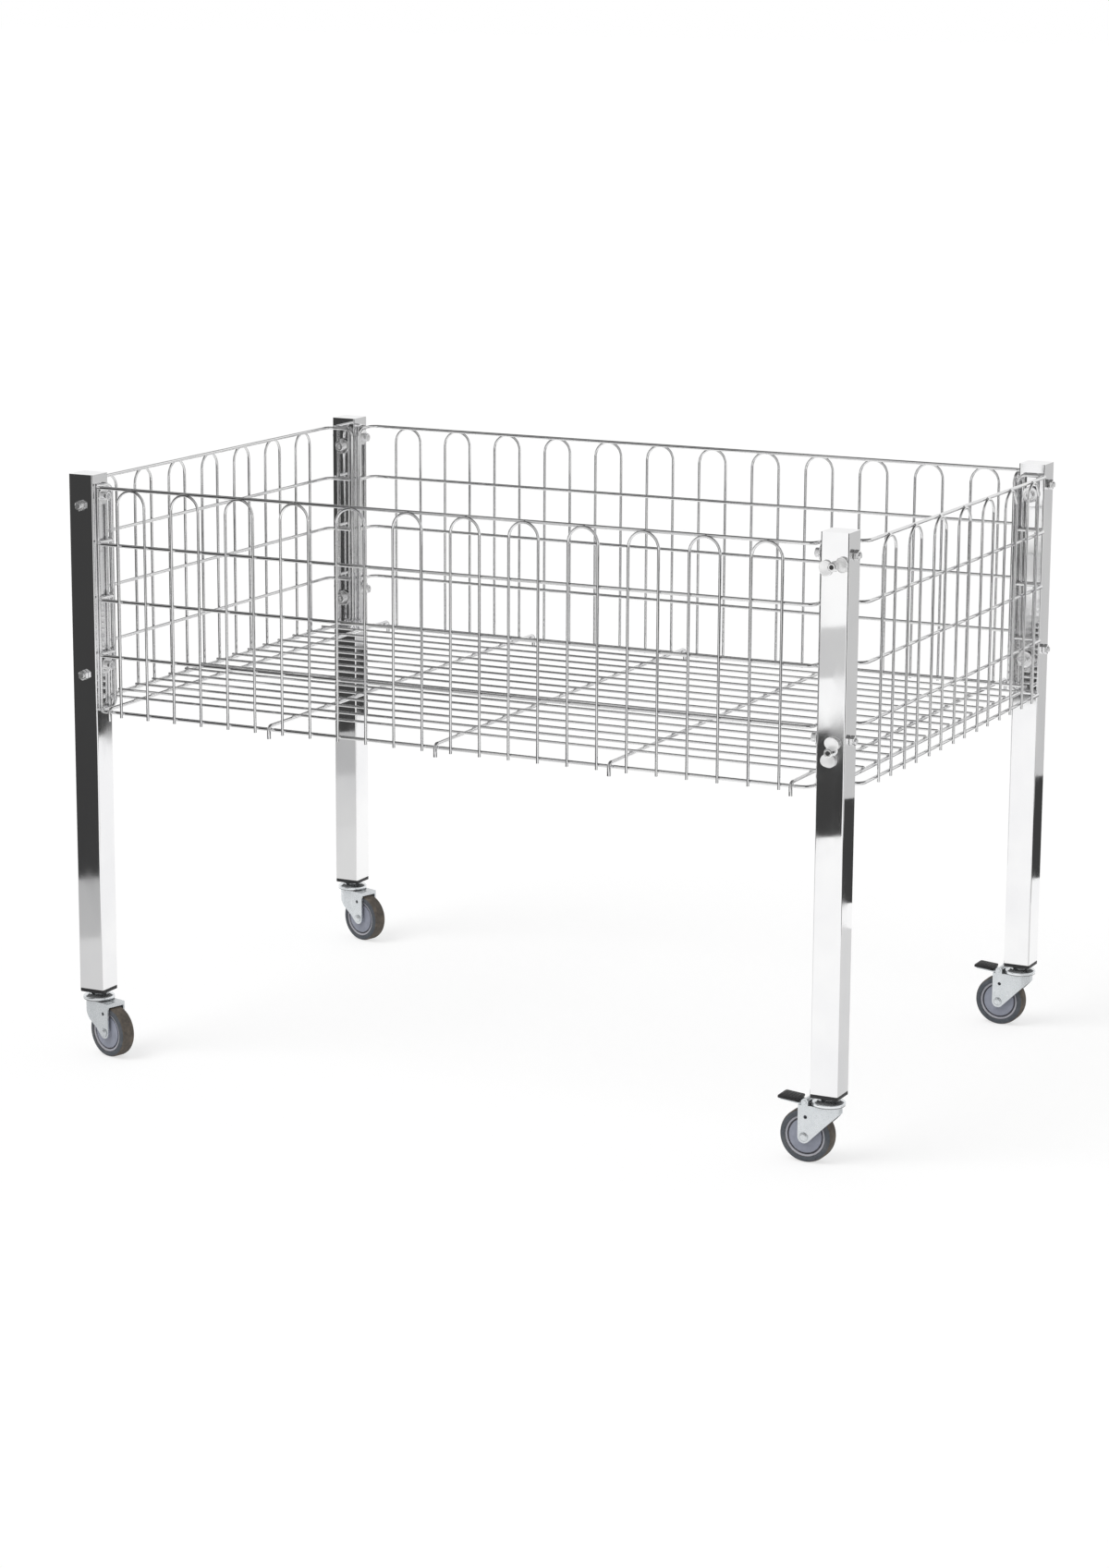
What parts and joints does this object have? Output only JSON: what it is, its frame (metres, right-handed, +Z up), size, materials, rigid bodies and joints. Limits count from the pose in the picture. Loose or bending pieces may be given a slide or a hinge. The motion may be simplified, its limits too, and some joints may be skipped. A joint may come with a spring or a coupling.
{
  "type": "retail dump bin",
  "caption": "Rectangular welded wire basket with a loose wire base rack, bolted between tall square chromed legs on swivel casters, part of them with foot brakes.",
  "frame": {"origin": "on the floor, under the middle of the four legs", "axes": "+X to the right along the bin's length, seen from its front; +Y from front to back; +Z up"},
  "size_m": [1.225, 0.8333, 0.86],
  "materials": {
    "chromed_tube": "bright polished chrome plate",
    "chromed_wire": "bright chrome plate on welded steel wire",
    "zinc_plate": "bright zinc-plated pressed steel",
    "zinc_fastener": "zinc-plated steel fasteners",
    "hub_plastic": "moulded grey plastic",
    "tyre_rubber": "dark grey rubber tread",
    "black_plastic": "black moulded plastic"
  },
  "bodies": {
    "frame": {"leg_front_left": "chromed_tube", "leg_front_right": "chromed_tube", "leg_back_left": "chromed_tube", "leg_back_right": "chromed_tube", "leg_plugs": "black_plastic", "caster_stems": "zinc_plate", "bearing_cups": "zinc_plate", "panel_front_rails": "chromed_wire", "panel_front_hoops": "chromed_wire", "panel_back_rails": "chromed_wire", "panel_back_hoops": "chromed_wire", "panel_left_rails": "chromed_wire", "panel_left_hoops": "chromed_wire", "panel_right_rails": "chromed_wire", "panel_right_hoops": "chromed_wire", "panel_bolts": "zinc_fastener", "panel_washers": "zinc_fastener", "panel_nuts": "zinc_fastener", "wing_nuts": "zinc_fastener"},
    "base_rack": {"rack_bars": "chromed_wire", "rack_wires": "chromed_wire"},
    "swivel_front_left": {"fork_front_left": "zinc_plate", "axle_front_left": "zinc_plate"},
    "wheel_front_left": {"hub_front_left": "hub_plastic", "tyre_front_left": "tyre_rubber"},
    "swivel_front_right": {"fork_front_right": "zinc_plate", "axle_front_right": "zinc_plate", "brake_pin_front_right": "zinc_plate"},
    "wheel_front_right": {"hub_front_right": "hub_plastic", "tyre_front_right": "tyre_rubber"},
    "swivel_back_left": {"fork_back_left": "zinc_plate", "axle_back_left": "zinc_plate"},
    "wheel_back_left": {"hub_back_left": "hub_plastic", "tyre_back_left": "tyre_rubber"},
    "swivel_back_right": {"fork_back_right": "zinc_plate", "axle_back_right": "zinc_plate", "brake_pin_back_right": "zinc_plate"},
    "wheel_back_right": {"hub_back_right": "hub_plastic", "tyre_back_right": "tyre_rubber"},
    "brake_front_right": {"brake_lever_front_right": "zinc_plate", "brake_pedal_front_right": "black_plastic"},
    "brake_back_right": {"brake_lever_back_right": "zinc_plate", "brake_pedal_back_right": "black_plastic"}
  },
  "joints": [
    {"name": "base_lift", "type": "slide", "parent": "frame", "child": "base_rack", "axis": [0, 0, 1], "range_m": [0, 0.02]},
    {"name": "swivel_front_left", "type": "hinge", "parent": "frame", "child": "swivel_front_left", "pos_m": [-0.58, -0.38, 0.08], "axis": [0, 0, 1], "continuous": true},
    {"name": "roll_front_left", "type": "hinge", "parent": "swivel_front_left", "child": "wheel_front_left", "pos_m": [-0.55227, -0.38848, 0.0375], "axis": [0.2924, 0.9563, 0], "continuous": true},
    {"name": "swivel_front_right", "type": "hinge", "parent": "frame", "child": "swivel_front_right", "pos_m": [0.58, -0.38, 0.08], "axis": [0, 0, 1], "continuous": true},
    {"name": "roll_front_right", "type": "hinge", "parent": "swivel_front_right", "child": "wheel_front_right", "pos_m": [0.551, -0.38, 0.0375], "axis": [0, -1, 0], "continuous": true},
    {"name": "swivel_back_left", "type": "hinge", "parent": "frame", "child": "swivel_back_left", "pos_m": [-0.58, 0.38, 0.08], "axis": [0, 0, 1], "continuous": true},
    {"name": "roll_back_left", "type": "hinge", "parent": "swivel_back_left", "child": "wheel_back_left", "pos_m": [-0.55227, 0.37152, 0.0375], "axis": [0.2924, 0.9563, 0], "continuous": true},
    {"name": "swivel_back_right", "type": "hinge", "parent": "frame", "child": "swivel_back_right", "pos_m": [0.58, 0.38, 0.08], "axis": [0, 0, 1], "continuous": true},
    {"name": "roll_back_right", "type": "hinge", "parent": "swivel_back_right", "child": "wheel_back_right", "pos_m": [0.551, 0.38, 0.0375], "axis": [0, -1, 0], "continuous": true},
    {"name": "brake_pedal_front_right", "type": "hinge", "parent": "swivel_front_right", "child": "brake_front_right", "pos_m": [0.5515, -0.38, 0.086], "axis": [0, -1, 0], "range_deg": [0, 10]},
    {"name": "brake_pedal_back_right", "type": "hinge", "parent": "swivel_back_right", "child": "brake_back_right", "pos_m": [0.5515, 0.38, 0.086], "axis": [0, -1, 0], "range_deg": [0, 10]}
  ]
}
